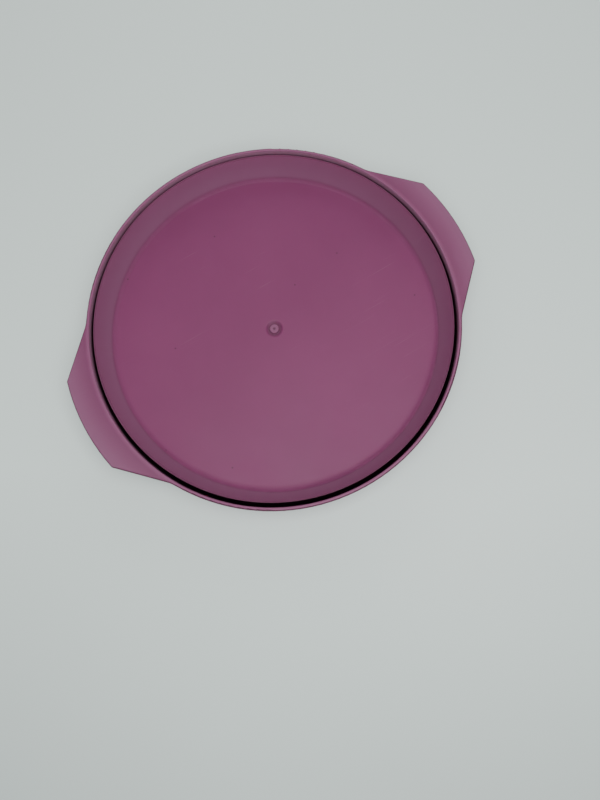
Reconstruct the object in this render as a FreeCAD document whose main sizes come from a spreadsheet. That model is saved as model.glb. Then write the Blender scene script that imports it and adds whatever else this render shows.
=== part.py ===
"""Cake turntable: a shallow round dish that turns on a ring of balls inside a tray with two flat handles.

The frame is in millimetres, with its origin on the table, on the turning axis. Z is up, and the
handles lie along X.
"""

import FreeCAD, Part
import math
import os
import re
import Sketcher

os.makedirs("parts", exist_ok=True)
doc = FreeCAD.newDocument("CakeTurntable")

BALL_COUNT = 12
FOOT_COUNT = 6

# ---------------------------------------------------------------- driving dimensions

DIMENSIONS = {
    # tray rim and handles
    "rim_radius": 160.0,
    "rim_height": 41.5,
    "bead_depth": 4.5,
    "flange_thick": 2.2,
    "tray_bore": 157.0,
    "lip_round": 1.0,
    "edge_round": 1.6,
    "handle_radius": 180.9,
    "handle_side": 154.0,
    "handle_slant": 45.0,
    "handle_root": 130.0,
    "handle_lip": 1.8,
    "handle_corner": 2.5,
    "handle_blend": 30.0,
    # tray shell
    "wall_thick": 2.0,
    "wall_draft": 1.8,
    "foot_drop": 2.0,
    "rib_depth": 3.1,
    "rib_thick": 1.6,
    "floor_thick": 2.2,
    "tray_corner": 8.0,
    "tray_round": 6.0,
    "skirt_inner": 145.2,
    # ball race
    "race_radius": 100.0,
    "race_width": 9.0,
    "race_rise": 1.5,
    "ball_radius": 3.0,
    "groove_radius": 3.25,
    "ball_play": 0.1,
    "cage_width": 13.0,
    "cage_thick": 2.2,
    "pocket_radius": 3.2,
    "window_width": 5.0,
    "window_length": 22.0,
    # dish
    "dish_radius": 153.5,
    "dish_drop": 0.3,
    "dish_wall": 1.8,
    "dish_lip": 0.9,
    "dish_corner": 142.6,
    "dish_round": 3.5,
    "dish_depth": 24.1,
    # gate well in the middle of the dish, with its button kept just under the floor
    "well_radius": 7.6,
    "well_bottom": 5.6,
    "well_depth": 1.3,
    "button_radius": 3.9,
    "button_drop": 0.1,
    "pip_radius": 0.9,
    "pip_depth": 0.8,
    # hub and spindle
    "hub_bore": 6.5,
    "hub_cup": 10.0,
    "hub_wall": 2.2,
    "hub_neck": 9.0,
    "hub_ceiling": 8.5,
    "hub_shoulder": 10.5,
    "hub_top": 12.2,
    "bush_bore": 4.5,
    "bush_flange": 8.6,
    "bush_flange_thick": 1.2,
    "spindle_radius": 4.4,
    "spindle_end": 8.1,
    "thrust_radius": 8.2,
    "thrust_play": 0.1,
    "collar_radius": 10.8,
    "pilot_radius": 1.95,
    "pilot_end": 14.9,
    # screw, washer and cap
    "washer_radius": 8.5,
    "washer_hole": 2.2,
    "washer_thick": 1.0,
    "head_radius": 4.0,
    "head_height": 2.4,
    "shank_radius": 1.9,
    "shank_length": 7.4,
    "cross_length": 4.4,
    "cross_width": 1.0,
    "cross_depth": 1.4,
    "cap_face": 1.4,
    "cap_inset": 0.2,
    "cap_skirt": 2.6,
    "cap_wall": 1.2,
    "notch_width": 3.0,
    # feet
    "foot_circle": 136.0,
    "foot_boss": 8.6,
    "foot_recess": 6.6,
    "foot_recess_depth": 1.6,
    "foot_radius": 6.5,
    "foot_chamfer": 0.8,
}

sheet = doc.addObject("Spreadsheet::Sheet", "Dimensions")
for row, (alias, value) in enumerate(DIMENSIONS.items(), start=1):
    sheet.set(f"A{row}", alias)
    sheet.set(f"B{row}", str(value))
    sheet.setAlias(f"B{row}", alias)
doc.recompute()

ALIASES = re.compile(r"\b(" + "|".join(DIMENSIONS) + r")\b")

# Heights worked out from the driving dimensions, as text for expressions.
UNDERSIDE = "foot_drop"
FLOOR_LOW = f"({UNDERSIDE} + rib_depth)"
FLOOR_TOP = f"({FLOOR_LOW} + floor_thick)"
RACE_TOP = f"({FLOOR_TOP} + race_rise)"
GROOVE_LOW = f"({FLOOR_TOP} + 0.2)"
BALL_HEIGHT = f"({GROOVE_LOW} + ball_play + ball_radius)"
LIP_LOW = "(rim_height - lip_round)"
BEAD_LOW = "(rim_height - bead_depth)"
DISH_TOP = "(rim_height - dish_drop)"
DISH_FLOOR = f"({DISH_TOP} - dish_depth)"
DISH_UNDER = f"({DISH_FLOOR} - floor_thick)"


# ---------------------------------------------------------------- helpers


def cells(text):
    """The expression with each alias written as a cell of the spreadsheet."""
    return ALIASES.sub(r"Dimensions.\1", text)


def number(text):
    """The expression's value now, in millimetres or degrees."""
    value = sheet.evalExpression(cells(text))
    return float(getattr(value, "Value", value))


def bind(thing, name, text):
    """Drives a property, or a sketch's named constraint, from the spreadsheet."""
    thing.setExpression(name, cells(text))


def new_body(label):
    body = doc.addObject("PartDesign::Body", label)
    body.Label = label
    return body


def origin_feature(body, role):
    return next(f for f in body.Origin.OriginFeatures if f.Role == role)


def new_sketch(body, name, role="XZ_Plane", height=None):
    """A sketch on one of the body's origin planes, raised by height along the plane's normal."""
    sketch = body.newObject("Sketcher::SketchObject", name)
    sketch.AttachmentSupport = [(origin_feature(body, role), "")]
    sketch.MapMode = "FlatFace"
    if height is not None:
        bind(sketch, ".AttachmentOffset.Base.z", height)
    doc.recompute()
    return sketch


def size(sketch, name, *constraint, text):
    """Adds a dimension to a sketch and drives it from the spreadsheet."""
    kind, *ends = constraint
    value = math.radians(number(text)) if kind == "Angle" else number(text)
    sketch.addConstraint(Sketcher.Constraint(kind, *ends, value))
    sketch.renameConstraint(sketch.ConstraintCount - 1, name)
    bind(sketch, f"Constraints.{name}", text)


def place_point(sketch, geometry, end, name, x, y):
    """Holds a point of a sketch at x, y from the origin."""
    for axis, kind, text, line in (("x", "DistanceX", x, -2), ("y", "DistanceY", y, -1)):
        if text == "0":
            sketch.addConstraint(Sketcher.Constraint("PointOnObject", geometry, end, line))
        else:
            size(sketch, f"{name}_{axis}", kind, -1, 1, geometry, end, text=text)


def outline(sketch, corners):
    """A closed outline of straight runs through corners, each (x, y) or (x, y, rounding radius)."""
    points = [FreeCAD.Vector(number(c[0]), number(c[1]), 0) for c in corners]
    count = len(corners)
    starts, ends, arcs = [], [], {}
    for i, corner in enumerate(corners):
        before = (points[i - 1] - points[i]).normalize()
        after = (points[(i + 1) % count] - points[i]).normalize()
        if len(corner) == 2:
            ends.append(points[i])
            starts.append(points[i])
            continue
        radius = number(corner[2])
        half = before.getAngle(after) / 2
        reach = radius / math.tan(half)
        centre = points[i] + (before + after).normalize() * (radius / math.sin(half))
        ends.append(points[i] + before * reach)
        starts.append(points[i] + after * reach)
        arcs[i] = (centre, radius)
    lines = [
        sketch.addGeometry(Part.LineSegment(starts[i], ends[(i + 1) % count]), False)
        for i in range(count)
    ]
    for i, corner in enumerate(corners):
        into, out = lines[i - 1], lines[i]
        if i not in arcs:
            sketch.addConstraint(Sketcher.Constraint("Coincident", into, 2, out, 1))
            place_point(sketch, out, 1, f"corner{i}", corner[0], corner[1])
            continue
        centre, radius = arcs[i]
        turn = (ends[i] - centre).cross(starts[i] - centre).z
        first, last = (ends[i], starts[i]) if turn > 0 else (starts[i], ends[i])
        angles = [math.atan2(p.y - centre.y, p.x - centre.x) for p in (first, last)]
        circle = Part.Circle(centre, FreeCAD.Vector(0, 0, 1), radius)
        arc = sketch.addGeometry(Part.ArcOfCircle(circle, *angles), False)
        near, far = (1, 2) if turn > 0 else (2, 1)
        sketch.addConstraint(Sketcher.Constraint("Tangent", into, 2, arc, near))
        sketch.addConstraint(Sketcher.Constraint("Tangent", out, 1, arc, far))
        size(sketch, f"round{i}", "Radius", arc, text=corner[2])
        mark = sketch.addGeometry(Part.Point(points[i]), True)
        place_point(sketch, mark, 1, f"corner{i}", corner[0], corner[1])
        sketch.addConstraint(Sketcher.Constraint("PointOnObject", mark, 1, into))
        sketch.addConstraint(Sketcher.Constraint("PointOnObject", mark, 1, out))
    doc.recompute()
    return sketch


def circle(sketch, radius, x="0", y="0"):
    """A full circle in a sketch."""
    centre = FreeCAD.Vector(number(x), number(y), 0)
    ring = Part.Circle(centre, FreeCAD.Vector(0, 0, 1), number(radius))
    index = sketch.addGeometry(ring, False)
    size(sketch, f"radius{index}", "Radius", index, text=radius)
    if x == y == "0":
        sketch.addConstraint(Sketcher.Constraint("Coincident", index, 3, -1, 1))
    else:
        place_point(sketch, index, 3, f"centre{index}", x, y)
    doc.recompute()
    return sketch


def solid_volume(body):
    return body.Shape.Volume if body.Tip and not body.Shape.isNull() else 0.0


def checked(feature, before, grows):
    """Recomputes, and stops if a feature did not add to or take from the volume before it."""
    doc.recompute()
    after = feature.Shape.Volume
    if not feature.isValid() or (after <= before if grows else after >= before):
        raise RuntimeError(f"{feature.Label}: volume went from {before:.1f} to {after:.1f}")
    return feature


def add_feature(body, kind, name, sketch, grows=True, **settings):
    """A sketch-based feature whose direction is proved by the change in volume."""
    before = solid_volume(body)
    feature = body.newObject(kind, name)
    feature.Profile = sketch
    for key, value in settings.items():
        if isinstance(value, str) and key in ("Length", "Length2"):
            bind(feature, key, value)
        else:
            setattr(feature, key, value)
    return checked(feature, before, grows)


def revolve(body, name, corners, cut=False):
    """Turns an outline of (radius, height) corners a full turn about the vertical axis."""
    sketch = outline(new_sketch(body, f"{name}_outline"), corners)
    kind = "PartDesign::Groove" if cut else "PartDesign::Revolution"
    axis = (sketch, ["V_Axis"])
    return add_feature(body, kind, name, sketch, not cut, ReferenceAxis=axis, Angle=360.0)


def ring_groove(body, name, radius, at_radius, height):
    """A groove of round section, such as a ball's track."""
    sketch = circle(new_sketch(body, f"{name}_section"), radius, at_radius, height)
    axis = (sketch, ["V_Axis"])
    return add_feature(body, "PartDesign::Groove", name, sketch, False, ReferenceAxis=axis, Angle=360.0)


def pad(body, name, sketch, depth):
    return add_feature(body, "PartDesign::Pad", name, sketch, Length=depth)


def pocket_up(body, name, sketch, depth):
    """A pocket that cuts upwards from its sketch."""
    return add_feature(body, "PartDesign::Pocket", name, sketch, False, Length=depth, Reversed=True)


def around(body, name, features, count, grows=True):
    """Repeats features about the vertical axis."""
    before = solid_volume(body)
    pattern = body.newObject("PartDesign::PolarPattern", name)
    pattern.Originals = features
    pattern.Axis = (origin_feature(body, "Z_Axis"), [""])
    pattern.Angle = 360.0
    pattern.Occurrences = count
    body.Tip = pattern
    return checked(pattern, before, grows)


def round_edges(body, name, radius, wanted):
    """Rounds the edges of the body's last feature that wanted accepts, from their end points."""
    tip = body.Tip
    edges = [
        f"Edge{i}"
        for i, edge in enumerate(tip.Shape.Edges, start=1)
        if wanted([v.Point for v in edge.Vertexes])
    ]
    fillet = body.newObject("PartDesign::Fillet", name)
    fillet.Base = (tip, edges)
    bind(fillet, "Radius", radius)
    doc.recompute()
    if not edges or not fillet.isValid() or fillet.Shape.isNull():
        raise RuntimeError(f"{name}: {len(edges)} edges could not be rounded")
    return fillet


def across(point):
    """A point's distance from the vertical axis."""
    return math.hypot(point.x, point.y)


def turned(angle_deg, offset=FreeCAD.Vector()):
    """The placement of a piece turned about the vertical axis, after an offset."""
    turn = FreeCAD.Rotation(FreeCAD.Vector(0, 0, 1), angle_deg)
    return FreeCAD.Placement(turn.multVec(offset), turn)


# ---------------------------------------------------------------- tray


def handle_sketch(body, name, height, inset="0", root="handle_root"):
    """One handle's outline: an arc about the turning axis, two slanted sides and a straight root."""
    sketch = new_sketch(body, name, "XY_Plane", height)
    radius = f"handle_radius - {inset}"
    side = f"handle_side - {inset}"
    slant = math.radians(number("handle_slant"))
    # Each side is a straight line at a set distance from the turning axis.
    corner_angle = slant - math.acos(number(side) / number(radius))
    corner = FreeCAD.Vector(
        number(radius) * math.cos(corner_angle), number(radius) * math.sin(corner_angle), 0
    )
    run = corner.x - number(root)
    far = FreeCAD.Vector(number(root), corner.y + run / math.tan(slant), 0)
    low_corner = FreeCAD.Vector(corner.x, -corner.y, 0)
    low_far = FreeCAD.Vector(far.x, -far.y, 0)
    rim = Part.Circle(FreeCAD.Vector(), FreeCAD.Vector(0, 0, 1), number(radius))
    arc = sketch.addGeometry(Part.ArcOfCircle(rim, -corner_angle, corner_angle), False)
    upper = sketch.addGeometry(Part.LineSegment(corner, far), False)
    chord = sketch.addGeometry(Part.LineSegment(far, low_far), False)
    lower = sketch.addGeometry(Part.LineSegment(low_far, low_corner), False)
    for pair in ((arc, 2, upper, 1), (upper, 2, chord, 1), (chord, 2, lower, 1), (lower, 2, arc, 1)):
        sketch.addConstraint(Sketcher.Constraint("Coincident", *pair))
    sketch.addConstraint(Sketcher.Constraint("Coincident", arc, 3, -1, 1))
    sketch.addConstraint(Sketcher.Constraint("Symmetric", arc, 1, arc, 2, -1))
    sketch.addConstraint(Sketcher.Constraint("Symmetric", upper, 2, lower, 1, -1))
    size(sketch, "reach", "Radius", arc, text=radius)
    size(sketch, "side", "Distance", -1, 1, upper, text=side)
    size(sketch, "root", "DistanceX", -1, 1, upper, 2, text=root)
    size(sketch, "slant", "Angle", upper, text="180 - handle_slant")
    doc.recompute()
    return sketch


def make_tray():
    """The stationary tray: rim bead, two handles, drafted wall, ribbed floor, ball track and hub."""
    body = new_body("base_tray")
    disc = circle(new_sketch(body, "rim_disc", "XY_Plane", BEAD_LOW), "rim_radius")
    pad(body, "rim_bead", disc, "bead_depth")

    handle = pad(body, "handle", handle_sketch(body, "handle_outline", BEAD_LOW), "bead_depth")
    around(body, "handle_pair", [handle], 2)
    hollow_outline = handle_sketch(body, "handle_hollow_outline", BEAD_LOW, "handle_lip")
    hollow = pocket_up(body, "handle_hollow", hollow_outline, "bead_depth - flange_thick")
    around(body, "handle_hollows", [hollow], 2, grows=False)
    # The hollows reach in under the rim, so the bead is built up again inside the rim radius.
    bead = circle(new_sketch(body, "bead_disc", "XY_Plane", BEAD_LOW), "rim_radius")
    pad(body, "bead_again", bead, "bead_depth")
    bore = circle(new_sketch(body, "bore_disc", "XY_Plane", BEAD_LOW), "tray_bore")
    pocket_up(body, "tray_bore_cut", bore, "bead_depth")

    top, low = number("rim_height"), number(BEAD_LOW)
    reach, rim = number("handle_radius"), number("rim_radius")

    def upright_at(radius):
        """Accepts an upright edge of the full depth of the bead at a radius."""

        def wanted(ends):
            return (
                len(ends) == 2
                and abs(abs(ends[0].z - ends[1].z) - (top - low)) < 0.01
                and all(abs(across(p) - radius) < 0.05 for p in ends)
            )

        return wanted

    round_edges(body, "handle_corners", "handle_corner", upright_at(reach))
    round_edges(body, "handle_blends", "handle_blend", upright_at(rim))
    round_edges(
        body,
        "outer_edge",
        "edge_round",
        lambda ends: all(abs(p.z - top) < 0.01 and across(p) > rim - 0.5 for p in ends),
    )
    bore_radius = number("tray_bore")
    round_edges(
        body,
        "inner_lip",
        "lip_round",
        lambda ends: all(abs(p.z - top) < 0.01 and abs(across(p) - bore_radius) < 0.05 for p in ends),
    )

    race_in = "race_radius - race_width / 2"
    race_out = "race_radius + race_width / 2"
    hub_side = "hub_cup + hub_wall"
    revolve(
        body,
        "pan",
        [
            ("hub_bore", "hub_ceiling"),
            ("hub_cup", "hub_ceiling"),
            ("hub_cup", UNDERSIDE),
            (hub_side, UNDERSIDE),
            (hub_side, FLOOR_LOW, "0.8"),
            ("race_radius - rib_thick / 2", FLOOR_LOW, "0.6"),
            ("race_radius - rib_thick / 2", UNDERSIDE),
            ("race_radius + rib_thick / 2", UNDERSIDE),
            ("race_radius + rib_thick / 2", FLOOR_LOW, "0.6"),
            ("skirt_inner", FLOOR_LOW, "0.6"),
            ("skirt_inner", UNDERSIDE),
            ("tray_bore - wall_draft + wall_thick", UNDERSIDE, "tray_corner"),
            ("tray_bore + wall_thick", LIP_LOW),
            ("tray_bore", LIP_LOW),
            ("tray_bore - wall_draft", FLOOR_TOP, "tray_round"),
            (race_out, FLOOR_TOP, "0.6"),
            (race_out, RACE_TOP, "0.4"),
            (race_in, RACE_TOP, "0.4"),
            (race_in, FLOOR_TOP, "0.6"),
            (hub_side, FLOOR_TOP, "1.0"),
            (hub_side, "hub_shoulder", "0.6"),
            ("hub_neck", "hub_shoulder", "0.6"),
            ("hub_neck", "hub_top", "0.3"),
            ("hub_bore", "hub_top"),
        ],
    )
    ring_groove(body, "ball_track", "groove_radius", "race_radius", f"{GROOVE_LOW} + groove_radius")

    rib_outline = new_sketch(body, "rib_outline", "XY_Plane", UNDERSIDE)
    outline(
        rib_outline,
        [
            ("hub_cup + 1", "-rib_thick / 2"),
            ("skirt_inner + 1", "-rib_thick / 2"),
            ("skirt_inner + 1", "rib_thick / 2"),
            ("hub_cup + 1", "rib_thick / 2"),
        ],
    )
    rib = pad(body, "rib", rib_outline, "rib_depth + 0.2")
    around(body, "ribs", [rib], 2 * FOOT_COUNT)

    boss_outline = new_sketch(body, "foot_boss_outline", "XY_Plane", UNDERSIDE)
    boss = pad(body, "foot_boss_pad", circle(boss_outline, "foot_boss", "foot_circle"), "rib_depth + 0.2")
    around(body, "foot_bosses", [boss], FOOT_COUNT)
    recess_outline = new_sketch(body, "foot_recess_outline", "XY_Plane", UNDERSIDE)
    circle(recess_outline, "foot_recess", "foot_circle")
    recess = pocket_up(body, "foot_recess_cut", recess_outline, "foot_recess_depth")
    around(body, "foot_recesses", [recess], FOOT_COUNT, grows=False)
    return body


# ---------------------------------------------------------------- dish


def make_dish():
    """The turning dish: flat floor, steep wall, gate well, ball track, collar, ribs and spindle."""
    body = new_body("turntable_dish")
    race_in = "race_radius - race_width / 2"
    race_out = "race_radius + race_width / 2"
    race_low = f"(2 * {BALL_HEIGHT} - {RACE_TOP})"
    collar_out = "collar_radius + rib_thick"
    button = f"({DISH_FLOOR} - button_drop)"
    well = f"({DISH_FLOOR} - well_depth)"
    thrust = "(hub_top + bush_flange_thick + thrust_play)"
    revolve(
        body,
        "shell",
        [
            ("0", f"{button} - pip_depth"),
            ("pip_radius", f"{button} - pip_depth", "0.3"),
            ("pip_radius", button, "0.3"),
            ("button_radius", button, "0.4"),
            ("button_radius + 0.3", well, "0.4"),
            ("well_bottom", well, "0.6"),
            ("well_radius", DISH_FLOOR, "2.0"),
            ("dish_corner", DISH_FLOOR, "dish_round"),
            ("dish_radius - dish_lip", DISH_TOP, "0.3"),
            ("dish_radius", DISH_TOP, "0.4"),
            ("dish_corner + dish_wall + 0.4", DISH_UNDER, "tray_corner"),
            (race_out, DISH_UNDER, "0.5"),
            (race_out, race_low, "0.4"),
            (race_in, race_low, "0.4"),
            (race_in, DISH_UNDER, "0.5"),
            (collar_out, DISH_UNDER, "0.5"),
            (collar_out, race_low, "0.3"),
            ("collar_radius", race_low, "0.3"),
            ("collar_radius", DISH_UNDER, "0.5"),
            ("thrust_radius", DISH_UNDER, "0.5"),
            ("thrust_radius", thrust, "0.3"),
            ("spindle_radius", thrust),
            ("spindle_radius", "spindle_end"),
            ("pilot_radius", "spindle_end"),
            ("pilot_radius", "pilot_end"),
            ("0", "pilot_end"),
        ],
    )
    track = f"2 * {BALL_HEIGHT} - {GROOVE_LOW} - groove_radius"
    ring_groove(body, "dish_track", "groove_radius", "race_radius", track)

    rib_low = f"{race_low} + 0.4"
    rib_outline = new_sketch(body, "dish_rib_outline", "XY_Plane", rib_low)
    outline(
        rib_outline,
        [
            ("collar_radius + 0.6", "-rib_thick / 2"),
            (f"{race_in} + 0.6", "-rib_thick / 2"),
            (f"{race_in} + 0.6", "rib_thick / 2"),
            ("collar_radius + 0.6", "rib_thick / 2"),
        ],
    )
    rib = pad(body, "dish_rib", rib_outline, f"{DISH_UNDER} + 0.6 - ({rib_low})")
    around(body, "dish_ribs", [rib], 8)
    return body


# ---------------------------------------------------------------- ball race


def make_cage():
    """The flat ring that keeps the balls apart, with a pocket for each and a window between them."""
    body = new_body("ball_cage")
    ring = new_sketch(body, "cage_ring", "XY_Plane", f"{BALL_HEIGHT} - cage_thick / 2")
    circle(ring, "race_radius + cage_width / 2")
    circle(ring, "race_radius - cage_width / 2")
    pad(body, "cage_plate", ring, "cage_thick")

    pocket_outline = new_sketch(body, "pocket_outline", "XY_Plane", f"{BALL_HEIGHT} - cage_thick / 2")
    circle(pocket_outline, "pocket_radius", "race_radius")
    pocket = pocket_up(body, "ball_pocket", pocket_outline, "cage_thick")
    around(body, "ball_pockets", [pocket], BALL_COUNT, grows=False)

    window_outline = new_sketch(body, "window_outline", "XY_Plane", f"{BALL_HEIGHT} - cage_thick / 2")
    half_step = 180.0 / BALL_COUNT
    across_x = f"race_radius * cos({half_step})"
    across_y = f"race_radius * sin({half_step})"
    corners = []
    for along, out in ((-1, -1), (-1, 1), (1, 1), (1, -1)):
        x = f"{across_x} + ({out}) * window_width / 2 * cos({half_step})"
        y = f"{across_y} + ({out}) * window_width / 2 * sin({half_step})"
        x += f" - ({along}) * window_length / 2 * sin({half_step})"
        y += f" + ({along}) * window_length / 2 * cos({half_step})"
        corners.append((x, y, "1.2"))
    outline(window_outline, corners)
    window = pocket_up(body, "cage_window", window_outline, "cage_thick")
    around(body, "cage_windows", [window], BALL_COUNT, grows=False)
    return body


def make_ball(index):
    """One ball, lying in its track."""
    ball = doc.addObject("Part::Sphere", f"ball_{index + 1:02d}")
    ball.Label = f"ball_{index + 1:02d}"
    bind(ball, "Radius", "ball_radius")
    offset = FreeCAD.Vector(number("race_radius"), 0, number(BALL_HEIGHT))
    ball.Placement = turned(360.0 * index / BALL_COUNT, offset)
    return ball


# ---------------------------------------------------------------- pivot


def make_bush():
    """The flanged bush that lines the tray's hub."""
    body = new_body("pivot_bush")
    revolve(
        body,
        "bush",
        [
            ("bush_bore", "hub_ceiling", "0.3"),
            ("hub_bore", "hub_ceiling", "0.3"),
            ("hub_bore", "hub_top"),
            ("bush_flange", "hub_top"),
            ("bush_flange", "hub_top + bush_flange_thick", "0.3"),
            ("bush_bore", "hub_top + bush_flange_thick", "0.3"),
        ],
    )
    return body


def make_washer():
    """The washer that holds the dish down. It turns with the spindle."""
    body = new_body("pivot_washer")
    revolve(
        body,
        "washer",
        [
            ("washer_hole", "spindle_end - washer_thick"),
            ("washer_radius", "spindle_end - washer_thick", "0.2"),
            ("washer_radius", "spindle_end", "0.2"),
            ("washer_hole", "spindle_end"),
        ],
    )
    return body


def make_screw():
    """The pan-head screw driven up into the spindle from below, with a cross recess."""
    body = new_body("pivot_screw")
    seat = "(spindle_end - washer_thick)"
    revolve(
        body,
        "screw",
        [
            ("0", f"{seat} - head_height"),
            ("head_radius", f"{seat} - head_height", "1.2"),
            ("head_radius", seat, "0.2"),
            ("shank_radius", seat),
            ("shank_radius", f"{seat} + shank_length - 1", "0.3"),
            ("shank_radius / 2", f"{seat} + shank_length"),
            ("0", f"{seat} + shank_length"),
        ],
    )
    recess = new_sketch(body, "cross_outline", "XY_Plane", f"{seat} - head_height")
    arm, half = "cross_length / 2", "cross_width / 2"
    # A quarter of the cross, turned a right angle at a time.
    quarter = [(arm, f"-{half}"), (arm, half), (half, half)]
    corners = []
    for _ in range(4):
        corners += quarter
        quarter = [(f"-({y})", x) for x, y in quarter]
    outline(recess, corners)
    pocket_up(body, "cross_recess", recess, "cross_depth")
    return body


def make_cap():
    """The plug that closes the hub from below, with a notch to lift it out by."""
    body = new_body("pivot_cap")
    low = f"({UNDERSIDE} + cap_inset)"
    revolve(
        body,
        "cap",
        [
            ("0", low),
            ("hub_cup", low, "0.4"),
            ("hub_cup", f"{low} + cap_skirt", "0.3"),
            ("hub_cup - cap_wall", f"{low} + cap_skirt", "0.3"),
            ("hub_cup - cap_wall", f"{low} + cap_face", "0.3"),
            ("0", f"{low} + cap_face"),
        ],
    )
    notch = new_sketch(body, "notch_outline", "XY_Plane", low)
    outline(
        notch,
        [
            ("hub_cup - cap_wall - 1", "-notch_width / 2"),
            ("hub_cup + 1", "-notch_width / 2"),
            ("hub_cup + 1", "notch_width / 2"),
            ("hub_cup - cap_wall - 1", "notch_width / 2"),
        ],
    )
    pocket_up(body, "notch", notch, "cap_face / 2")
    return body


def make_foot(index):
    """One soft foot, pressed into its boss under the tray."""
    body = new_body(f"foot_{index + 1}")
    top = f"({UNDERSIDE} + foot_recess_depth)"
    revolve(
        body,
        f"foot_pad_{index + 1}",
        [
            ("0", "0"),
            ("foot_radius - foot_chamfer", "0", "0.5"),
            ("foot_radius", "foot_chamfer", "0.5"),
            ("foot_radius", top),
            ("0", top),
        ],
    )
    offset = FreeCAD.Vector(number("foot_circle"), 0, 0)
    body.Placement = turned(360.0 * index / FOOT_COUNT, offset)
    return body


# ---------------------------------------------------------------- build and write

pieces = [make_tray(), make_dish(), make_cage(), make_bush(), make_washer(), make_screw(), make_cap()]
pieces += [make_ball(i) for i in range(BALL_COUNT)]
pieces += [make_foot(i) for i in range(FOOT_COUNT)]
doc.recompute()

faults = [o.Label for o in doc.Objects if "Invalid" in o.State or "Error" in o.State]
faults += [p.Label for p in pieces if p.Shape.isNull() or not p.Shape.isValid() or not p.Shape.Solids]
if faults:
    raise RuntimeError(f"these objects failed: {', '.join(faults)}")
for piece in pieces:
    piece.Shape.exportStep(f"parts/{piece.Label}.step")
    box = piece.Shape.BoundBox
    print(f"{piece.Label}: {piece.Shape.Volume:.0f} mm3, z {box.ZMin:.2f} to {box.ZMax:.2f}")
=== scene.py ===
"""The looks of a moulded plastic cake turntable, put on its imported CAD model. Lengths are in metres."""

import math

import bpy
from mathutils import Matrix, Vector


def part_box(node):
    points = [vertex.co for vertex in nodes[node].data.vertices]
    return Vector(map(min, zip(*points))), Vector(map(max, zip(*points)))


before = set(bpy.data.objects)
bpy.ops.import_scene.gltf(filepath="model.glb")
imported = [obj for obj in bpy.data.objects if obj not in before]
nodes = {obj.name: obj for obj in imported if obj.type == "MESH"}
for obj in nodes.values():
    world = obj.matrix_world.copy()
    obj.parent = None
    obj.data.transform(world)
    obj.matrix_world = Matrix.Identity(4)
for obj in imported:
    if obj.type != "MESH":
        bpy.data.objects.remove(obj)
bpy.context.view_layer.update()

# ---------------------------------------------------------------- sizes and places, from the frame

MM = 0.001
RIM_WIDTH = 3.0 * MM
TRAY_FLOOR_RISE = 5.3 * MM
DISH_DEPTH = 24.1 * MM
WALL_LEAN = 11.5 * MM
BUTTON_RADIUS = 3.9 * MM
PIP_RADIUS = 0.9 * MM
WELL_RADIUS = 7.6 * MM

TRAY_LOW, TRAY_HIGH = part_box("base_tray")
DISH_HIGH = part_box("turntable_dish")[1]
RIM_RADIUS = TRAY_HIGH.y
RIM_TOP = TRAY_HIGH.z
HANDLE_END = TRAY_HIGH.x
BORE = RIM_RADIUS - RIM_WIDTH
PAN_FLOOR = TRAY_LOW.z + TRAY_FLOOR_RISE
DISH_TOP = DISH_HIGH.z
DISH_FLOOR = DISH_TOP - DISH_DEPTH
DISH_RADIUS = DISH_HIGH.x
CREASE = DISH_RADIUS - WALL_LEAN
BALLS = sorted(name for name in nodes if name.startswith("ball_") and name != "ball_cage")
FEET = sorted(name for name in nodes if name.startswith("foot_"))

# ---------------------------------------------------------------- colours, linear

PLUM = (0.210, 0.038, 0.124, 1.0)
PLUM_DEEP = (0.190, 0.032, 0.111, 1.0)
PLUM_PALE = (0.230, 0.045, 0.138, 1.0)
# Painted light, then brighter painted light, then painted shade that also colours the dirt specks:
PLUM_PAINTED_LIGHT = (0.303, 0.165, 0.250, 1.0)
PLUM_PAINTED_LIGHTEST = (0.420, 0.200, 0.320, 1.0)
PLUM_SHADE_AND_DIRT = (0.080, 0.018, 0.044, 1.0)
SCUFF = (0.36, 0.22, 0.29, 1.0)
SHADE = (0.020, 0.003, 0.010, 1.0)
TABLE = (0.80, 0.92, 0.88, 1.0)
# Painted shade on the table, towards the bottom of the picture:
TABLE_PAINTED_SHADE = (0.50, 0.58, 0.56, 1.0)
NATURAL = (0.78, 0.76, 0.70, 1.0)
NATURAL_DIRTY = (0.60, 0.56, 0.48, 1.0)
ZINC = (0.55, 0.56, 0.58, 1.0)
ZINC_YELLOWED = (0.50, 0.47, 0.38, 1.0)
CHROME = (0.66, 0.66, 0.68, 1.0)
GREASE = (0.30, 0.26, 0.18, 1.0)
RUBBER = (0.020, 0.020, 0.022, 1.0)
RUBBER_DUSTY = (0.075, 0.072, 0.070, 1.0)

# How strongly each tone is laid over the plum plastic, 0 to 1: painted light, painted shade, speck dirt
# and hairline wear.
RIM_PAINTED_LIGHT = 0.30
HANDLE_PAINTED_LIGHT_IN = 0.15
HANDLE_PAINTED_LIGHT_OUT = 0.45
HANDLE_ROOT_PAINTED_SHADE = 0.20
EDGE_PAINTED_SHADE = 0.85
WALL_PAINTED_LIGHT = 0.40
WALL_PAINTED_LIGHT_KEPT_AT_TOP = 0.65
WALL_PAINTED_SHADE = 0.08
LIP_PAINTED_SHADE = 0.60
CREASE_PAINTED_SHADE = 0.07
BUTTON_PAINTED_HIGHLIGHT = 0.30
WELL_PAINTED_SHADE = 0.55
SPECK_DARK = 0.80
HAIRLINE_PALE = 0.25

# Each direction of hairline scratches: its turn in radians, and its scale.
HAIRLINES = ((0.35, 13.0), (1.45, 17.0), (2.4, 11.0))
HAIRLINE_STRETCH = 60.0


# ---------------------------------------------------------------- material tools


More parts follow.
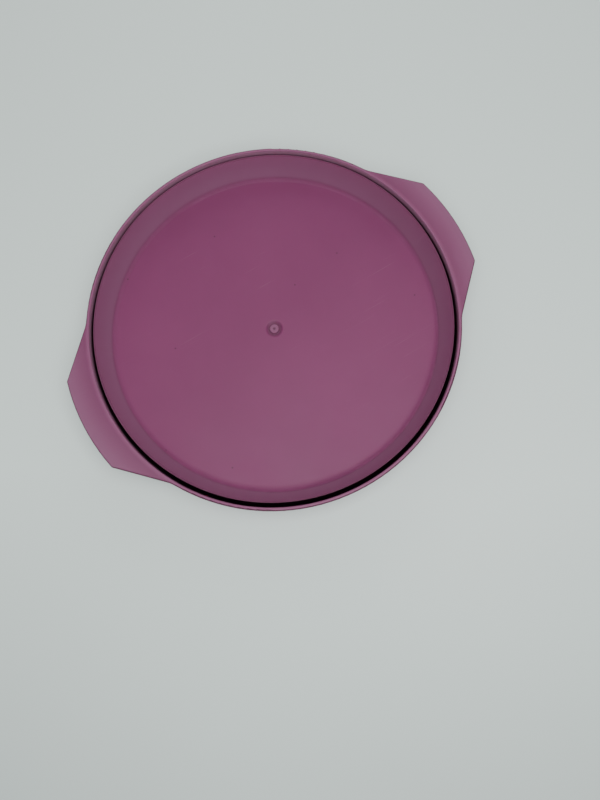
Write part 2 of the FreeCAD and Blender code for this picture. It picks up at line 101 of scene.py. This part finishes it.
class Recipe:
    """A node material under construction, around one Principled shader."""

    def __init__(self, name):
        self.material = bpy.data.materials.new(name)
        self.material.use_nodes = True
        self.tree = self.material.node_tree
        self.shader = self.tree.nodes["Principled BSDF"]
        coordinates = self.add("ShaderNodeTexCoord").outputs
        self.place = coordinates["Object"]
        self.normal = coordinates["Normal"]
        flatten = {0: self.place, 1: (1.0, 1.0, 0.0)}
        self.level = self.add("ShaderNodeVectorMath", flatten, operation="MULTIPLY").outputs[0]

    def add(self, kind, inputs=(), **settings):
        """Adds a node. Each input is (name or index, a value or an output to link)."""
        node = self.tree.nodes.new(kind)
        for key, value in settings.items():
            setattr(node, key, value)
        for socket, value in dict(inputs).items():
            self.feed(node.inputs[socket], value)
        return node

    def feed(self, socket, value):
        if isinstance(value, bpy.types.NodeSocket):
            self.tree.links.new(value, socket)
        else:
            socket.default_value = value

    def set(self, **values):
        """Sets the shader's sockets, with _ for a space in the name."""
        for name, value in values.items():
            self.feed(self.shader.inputs[name.replace("_", " ")], value)

    def noise(self, scale, detail=3.0, rough=0.55, where=None):
        inputs = {"Vector": where or self.place, "Scale": scale, "Detail": detail, "Roughness": rough}
        return self.add("ShaderNodeTexNoise", inputs).outputs["Fac"]

    def span(self, value, low, high, new_low=0.0, new_high=1.0):
        """Maps a value's range onto another, held at its ends."""
        inputs = {"Value": value, "From Min": low, "From Max": high}
        inputs.update({"To Min": new_low, "To Max": new_high})
        return self.add("ShaderNodeMapRange", inputs).outputs["Result"]

    def fall(self, value, low, high):
        """1 up to low, going down to 0 at high."""
        return self.span(value, low, high, 1.0, 0.0)

    def math(self, operation, first, second):
        return self.add("ShaderNodeMath", {0: first, 1: second}, operation=operation).outputs[0]

    def times(self, product, *factors):
        for factor in factors:
            product = self.math("MULTIPLY", product, factor)
        return product

    def largest(self, most, *others):
        for other in others:
            most = self.math("MAXIMUM", most, other)
        return most

    def mix(self, amount, first, second):
        node = self.add("ShaderNodeMix", data_type="RGBA")
        for socket, value in ((0, amount), (6, first), (7, second)):
            self.feed(node.inputs[socket], value)
        return node.outputs[2]

    def stretched(self, scale, turn):
        """The place, scaled along each axis and turned."""
        inputs = {"Vector": self.place, "Scale": scale, "Rotation": turn}
        return self.add("ShaderNodeMapping", inputs).outputs["Vector"]

    def parts(self, vector):
        return self.add("ShaderNodeSeparateXYZ", {"Vector": vector}).outputs

    def height(self):
        """The distance above the table."""
        return self.parts(self.place)["Z"]

    def radius(self):
        """The distance from the turning axis."""
        return self.add("ShaderNodeVectorMath", {0: self.level}, operation="LENGTH").outputs["Value"]

    def outward(self):
        """The radius times how squarely the face looks away from the axis. Below 0 it looks in."""
        inputs = {0: self.normal, 1: self.level}
        return self.add("ShaderNodeVectorMath", inputs, operation="DOT_PRODUCT").outputs["Value"]

    def bump(self, height, distance, strength):
        inputs = {"Height": height, "Distance": distance, "Strength": strength}
        self.set(Normal=self.add("ShaderNodeBump", inputs).outputs["Normal"])


def moulded_plum(name, worn):
    """Slightly translucent plum plastic, with hairline scratches where worn, 0 to 1, is high.
    Returns its recipe, tint and roughness, for the caller to finish."""
    m = Recipe(name)
    cloud = m.span(m.noise(9.0, 4.0), 0.35, 0.68)
    tint = m.mix(0.6, m.mix(cloud, PLUM_DEEP, PLUM_PALE), PLUM)
    lines = []
    for turn, scale in HAIRLINES:
        stretched = m.stretched((scale, scale * HAIRLINE_STRETCH, scale), (0.0, 0.0, turn))
        lines.append(m.span(m.noise(1.0, 2.0, 0.6, stretched), 0.70, 0.78))
    patches = m.span(m.noise(14.0, 3.0), 0.52, 0.66)
    hair = m.times(m.largest(*lines), patches, worn)
    tint = m.mix(m.times(hair, HAIRLINE_PALE), tint, SCUFF)
    rough = m.span(m.noise(30.0, 5.0), 0.3, 0.7, 0.45, 0.53)
    rough = m.math("ADD", rough, m.times(hair, 0.15))
    m.set(Subsurface_Weight=0.5, Subsurface_Radius=(1.0, 0.5, 0.75), Subsurface_Scale=6.0 * MM)
    m.set(IOR=1.49, Specular_IOR_Level=0.36)
    m.bump(m.noise(2600.0, 2.0), 0.06 * MM, 0.35)
    return m, tint, rough


def tray_plum():
    """The tray's plastic: painted light makes it paler on the rim and out towards the handles' ends,
    painted shade makes it darker round the turned-down edge and at the handles' roots, and dark deep down
    in the gap."""
    m, tint, rough = moulded_plum("plum_tray", 0.6)
    height, radius, outward = m.height(), m.radius(), m.outward()
    past_rim = RIM_RADIUS + 1.0 * MM

    # Painted light: the rim and the handles, more so towards their ends, are laid paler.
    rim = m.span(radius, RIM_RADIUS - 1.5 * MM, past_rim, RIM_PAINTED_LIGHT, 0.0)
    handle = m.span(radius, past_rim, HANDLE_END, HANDLE_PAINTED_LIGHT_IN, HANDLE_PAINTED_LIGHT_OUT)
    tint = m.mix(m.largest(rim, handle), tint, PLUM_PAINTED_LIGHT)

    # Painted shade: the handles' roots are laid darker.
    root = m.span(radius, past_rim, past_rim + 13.0 * MM, HANDLE_ROOT_PAINTED_SHADE, 0.0)
    root = m.times(root, m.span(radius, RIM_RADIUS - 0.5 * MM, past_rim))
    tint = m.mix(root, tint, PLUM_SHADE_AND_DIRT)

    # Painted shade: a dark outline is laid round the turned-down outer edge.
    edge = m.span(height, RIM_TOP - 0.25 * MM, RIM_TOP - 0.05 * MM, EDGE_PAINTED_SHADE, 0.0)
    edge = m.times(
        edge,
        m.span(height, RIM_TOP - 3.6 * MM, RIM_TOP - 2.2 * MM),
        m.span(radius, BORE + 1.3 * MM, BORE + 1.7 * MM),
        m.span(outward, 0.0, 0.03),
    )
    tint = m.mix(edge, tint, PLUM_SHADE_AND_DIRT)

    # The inner side of the wall, from the bore's mouth down to the pan floor.
    inside = m.times(
        m.fall(radius, BORE + 0.2 * MM, BORE + 1.2 * MM),
        m.span(radius, BORE - 13.0 * MM, BORE - 11.0 * MM),
        m.fall(outward, 0.0, 0.03),
        m.span(height, PAN_FLOOR - 1.0 * MM, PAN_FLOOR - 0.5 * MM),
    )
    # Painted light: the bore's mouth is laid palest.
    mouth = m.times(inside, m.fall(height, RIM_TOP - 1.0 * MM, RIM_TOP - 0.6 * MM))
    tint = m.mix(mouth, tint, PLUM_PAINTED_LIGHTEST)
    # Painted shade: deep down in the gap the wall is laid near black.
    deep = m.times(inside, m.fall(height, RIM_TOP - 8.0 * MM, RIM_TOP - 4.0 * MM))
    m.set(Base_Color=m.mix(deep, tint, SHADE), Roughness=rough)
    return m.material


def floor_specks(m, height):
    """Where a few specks of dirt are stuck to the dish's floor."""
    voronoi = {"Vector": m.place, "Scale": 24.0}
    cells = m.add("ShaderNodeTexVoronoi", voronoi, voronoi_dimensions="2D").outputs
    chosen = m.span(m.parts(cells["Color"])["X"], 0.76, 0.78)
    spot = m.fall(cells["Distance"], 0.008, 0.024)
    low = m.span(height, DISH_FLOOR + 0.2 * MM, DISH_FLOOR + 0.5 * MM, SPECK_DARK, 0.0)
    return m.times(chosen, spot, low)


def dish_plum():
    """The dish's plastic: painted light makes it paler on its wall than on its floor, painted shade makes
    it darker on its lip and in the crease between wall and floor, and dark behind."""
    m, tint, rough = moulded_plum("plum_dish", 1.0)
    height, radius = m.height(), m.radius()
    lip_low = DISH_TOP - 1.2 * MM

    # Painted light: the wall is laid paler than the floor, less so towards the lip.
    wall = m.span(height, DISH_FLOOR + 0.3 * MM, DISH_FLOOR + 4.0 * MM, 0.0, WALL_PAINTED_LIGHT)
    fade = m.span(height, DISH_FLOOR + 6.0 * MM, lip_low, 1.0, WALL_PAINTED_LIGHT_KEPT_AT_TOP)
    tint = m.mix(m.times(wall, fade), tint, PLUM_PAINTED_LIGHT)

    # Painted shade: the upper wall, the lip and the crease are laid darker.
    upper = m.span(height, DISH_FLOOR + 8.0 * MM, lip_low, 0.0, WALL_PAINTED_SHADE)
    lip = m.span(height, lip_low, DISH_TOP - 0.4 * MM, 0.0, LIP_PAINTED_SHADE)
    crease = m.span(radius, CREASE - 3.0 * MM, CREASE - 0.5 * MM, 0.0, CREASE_PAINTED_SHADE)
    crease = m.times(crease, m.fall(radius, CREASE + 0.5 * MM, CREASE + 2.5 * MM))
    tint = m.mix(m.largest(upper, lip, crease), tint, PLUM_SHADE_AND_DIRT)

    # Painted shade darkens the well round the gate's button and its pip, and a painted highlight makes
    # the button pale.
    button = m.fall(radius, BUTTON_RADIUS - 0.3 * MM, BUTTON_RADIUS + 0.3 * MM)
    well = m.fall(radius, WELL_RADIUS - 2.8 * MM, WELL_RADIUS + 0.2 * MM)
    ring = m.math("SUBTRACT", well, button)
    pip = m.fall(radius, PIP_RADIUS - 0.1 * MM, PIP_RADIUS + 0.7 * MM)
    tint = m.mix(m.times(button, BUTTON_PAINTED_HIGHLIGHT), tint, PLUM_PAINTED_LIGHT)
    tint = m.mix(m.times(m.largest(ring, pip), WELL_PAINTED_SHADE), tint, PLUM_SHADE_AND_DIRT)
    tint = m.mix(floor_specks(m, height), tint, PLUM_SHADE_AND_DIRT)

    # Painted shade: the outer face of the wall, down in the gap, is laid near black.
    behind = m.span(radius, DISH_RADIUS - 7.5 * MM, DISH_RADIUS - 5.5 * MM)
    behind = m.times(behind, m.span(m.outward(), 0.02, 0.09))
    matt = m.span(radius, CREASE - 4.5 * MM, CREASE + 1.0 * MM, 0.0, 0.3)
    m.set(Base_Color=m.mix(behind, tint, SHADE), Roughness=m.math("ADD", rough, matt))
    return m.material


def natural_plastic(name):
    """Unpigmented bearing plastic with a little grease in its hollows."""
    m = Recipe(name)
    dirt = m.span(m.noise(60.0, 5.0), 0.45, 0.75)
    m.set(Base_Color=m.mix(dirt, NATURAL, NATURAL_DIRTY))
    m.set(Roughness=m.span(dirt, 0.0, 1.0, 0.35, 0.55))
    m.bump(m.noise(1500.0, 2.0), 0.05 * MM, 0.3)
    return m.material


def plated_steel(name):
    """Zinc-plated steel with faint yellow passivation and turned lines."""
    m = Recipe(name)
    patch = m.span(m.noise(220.0, 4.0), 0.4, 0.7)
    wave = {"Vector": m.place, "Scale": 900.0, "Distortion": 1.5}
    rings = m.add("ShaderNodeTexWave", wave, wave_type="RINGS", rings_direction="Z")
    lines = rings.outputs["Fac"]
    m.set(Base_Color=m.mix(patch, ZINC, ZINC_YELLOWED), Metallic=1.0)
    m.set(Roughness=m.span(lines, 0.0, 1.0, 0.28, 0.42))
    m.bump(lines, 0.02 * MM, 0.3)
    return m.material


def ball_steel(name):
    """Polished bearing steel with smears of grease."""
    m = Recipe(name)
    smear = m.span(m.noise(400.0, 3.0), 0.5, 0.7)
    m.set(Base_Color=m.mix(smear, CHROME, GREASE))
    m.set(Metallic=m.span(smear, 0.0, 1.0, 1.0, 0.6))
    m.set(Roughness=m.span(smear, 0.0, 1.0, 0.08, 0.35))
    return m.material


def foot_rubber(name):
    """Matt black rubber, dusty where it has picked up lint."""
    m = Recipe(name)
    dust = m.span(m.noise(500.0, 5.0), 0.5, 0.75)
    m.set(Base_Color=m.mix(dust, RUBBER, RUBBER_DUSTY))
    m.set(Roughness=m.span(dust, 0.0, 1.0, 0.62, 0.9))
    m.bump(m.noise(3000.0, 3.0), 0.08 * MM, 0.5)
    return m.material


def dress(names, material):
    """Gives CAD nodes a material."""
    for name in names:
        slots = nodes[name].data.materials
        slots.clear()
        slots.append(material)


dress(["base_tray", "pivot_cap"], tray_plum())
dress(["turntable_dish"], dish_plum())
dress(["ball_cage", "pivot_bush"], natural_plastic("natural_plastic"))
dress(["pivot_washer", "pivot_screw"], plated_steel("zinc_plate"))
dress(BALLS, ball_steel("bearing_ball"))
dress(FEET, foot_rubber("foot_rubber"))

# ---------------------------------------------------------------- camera

# The handles run 30 degrees round from the picture's level line, and the eye is almost overhead.
# The eye is placed from the middle of the rim's top, with y up the picture. Tilts are in radians.
HANDLE_TURN = math.radians(30.0)
TILT = 0.18988
SIDE_TILT = 0.03175
EYE = Vector((0.04149, -0.17832, 0.56885))
LENS = 31.5
SENSOR = 36.0


def picture_to_world():
    """The turn from the picture's own frame, with y up it, to the frame of the CAD."""
    return Matrix.Rotation(-HANDLE_TURN, 4, "Z")


def make_camera():
    data = bpy.data.cameras.new("camera")
    data.sensor_width = SENSOR
    data.lens = LENS
    camera = bpy.data.objects.new("camera", data)
    tilts = Matrix.Rotation(SIDE_TILT, 4, "Y") @ Matrix.Rotation(TILT, 4, "X")
    turn = picture_to_world() @ tilts
    place = picture_to_world() @ EYE + Vector((0.0, 0.0, RIM_TOP))
    camera.matrix_world = Matrix.Translation(place) @ turn
    bpy.context.scene.collection.objects.link(camera)
    bpy.context.scene.camera = camera


make_camera()

# ---------------------------------------------------------------- table

TABLE_SIZE = 8.0
# The table top has painted shade: grey below the first height up the picture and full pale above the
# second.
TABLE_SHADE_FADE = (-0.50, -0.12)
TABLE_WAVE = 0.03


def make_table():
    """The pale table top that it stands on."""
    bpy.ops.mesh.primitive_plane_add(size=TABLE_SIZE, location=(0.0, 0.0, 0.0))
    table = bpy.context.object
    table.name = "table_top"
    m = Recipe("table_top")
    up = {0: m.place, 1: picture_to_world() @ Vector((0.0, 1.0, 0.0))}
    height = m.add("ShaderNodeVectorMath", up, operation="DOT_PRODUCT").outputs["Value"]
    wave = m.span(m.noise(1.5, 4.0), 0.3, 0.7, -TABLE_WAVE, TABLE_WAVE)
    # Painted shade: the table is laid grey towards the bottom of the picture.
    tone = m.span(m.math("ADD", height, wave), *TABLE_SHADE_FADE)
    m.set(Base_Color=m.mix(tone, TABLE_PAINTED_SHADE, TABLE), Roughness=0.55)
    table.data.materials.append(m.material)


make_table()

# ---------------------------------------------------------------- light

LIGHT_TARGET = Vector((0.0, 0.0, RIM_TOP))
ROOM_STRENGTH = 0.33


def make_light(name, place, width, depth, power):
    """A rectangular soft light aimed at the turntable, placed in the picture's own frame."""
    place = picture_to_world() @ Vector(place)
    data = bpy.data.lights.new(name, "AREA")
    data.shape = "RECTANGLE"
    data.size = width
    data.size_y = depth
    data.energy = power
    light = bpy.data.objects.new(name, data)
    light.location = place
    light.rotation_euler = (LIGHT_TARGET - place).to_track_quat("-Z", "Y").to_euler()
    bpy.context.scene.collection.objects.link(light)


def make_room():
    """An even white light from all round."""
    world = bpy.data.worlds.new("room")
    world.use_nodes = True
    background = world.node_tree.nodes["Background"].inputs
    background["Color"].default_value = (1.0, 1.0, 1.0, 1.0)
    background["Strength"].default_value = ROOM_STRENGTH
    bpy.context.scene.world = world


make_light("south", place=(0.12, -0.30, 1.05), width=0.9, depth=0.9, power=11.8)
make_light("north", place=(0.0, 1.1, 0.6), width=1.2, depth=0.6, power=3.4)
make_room()
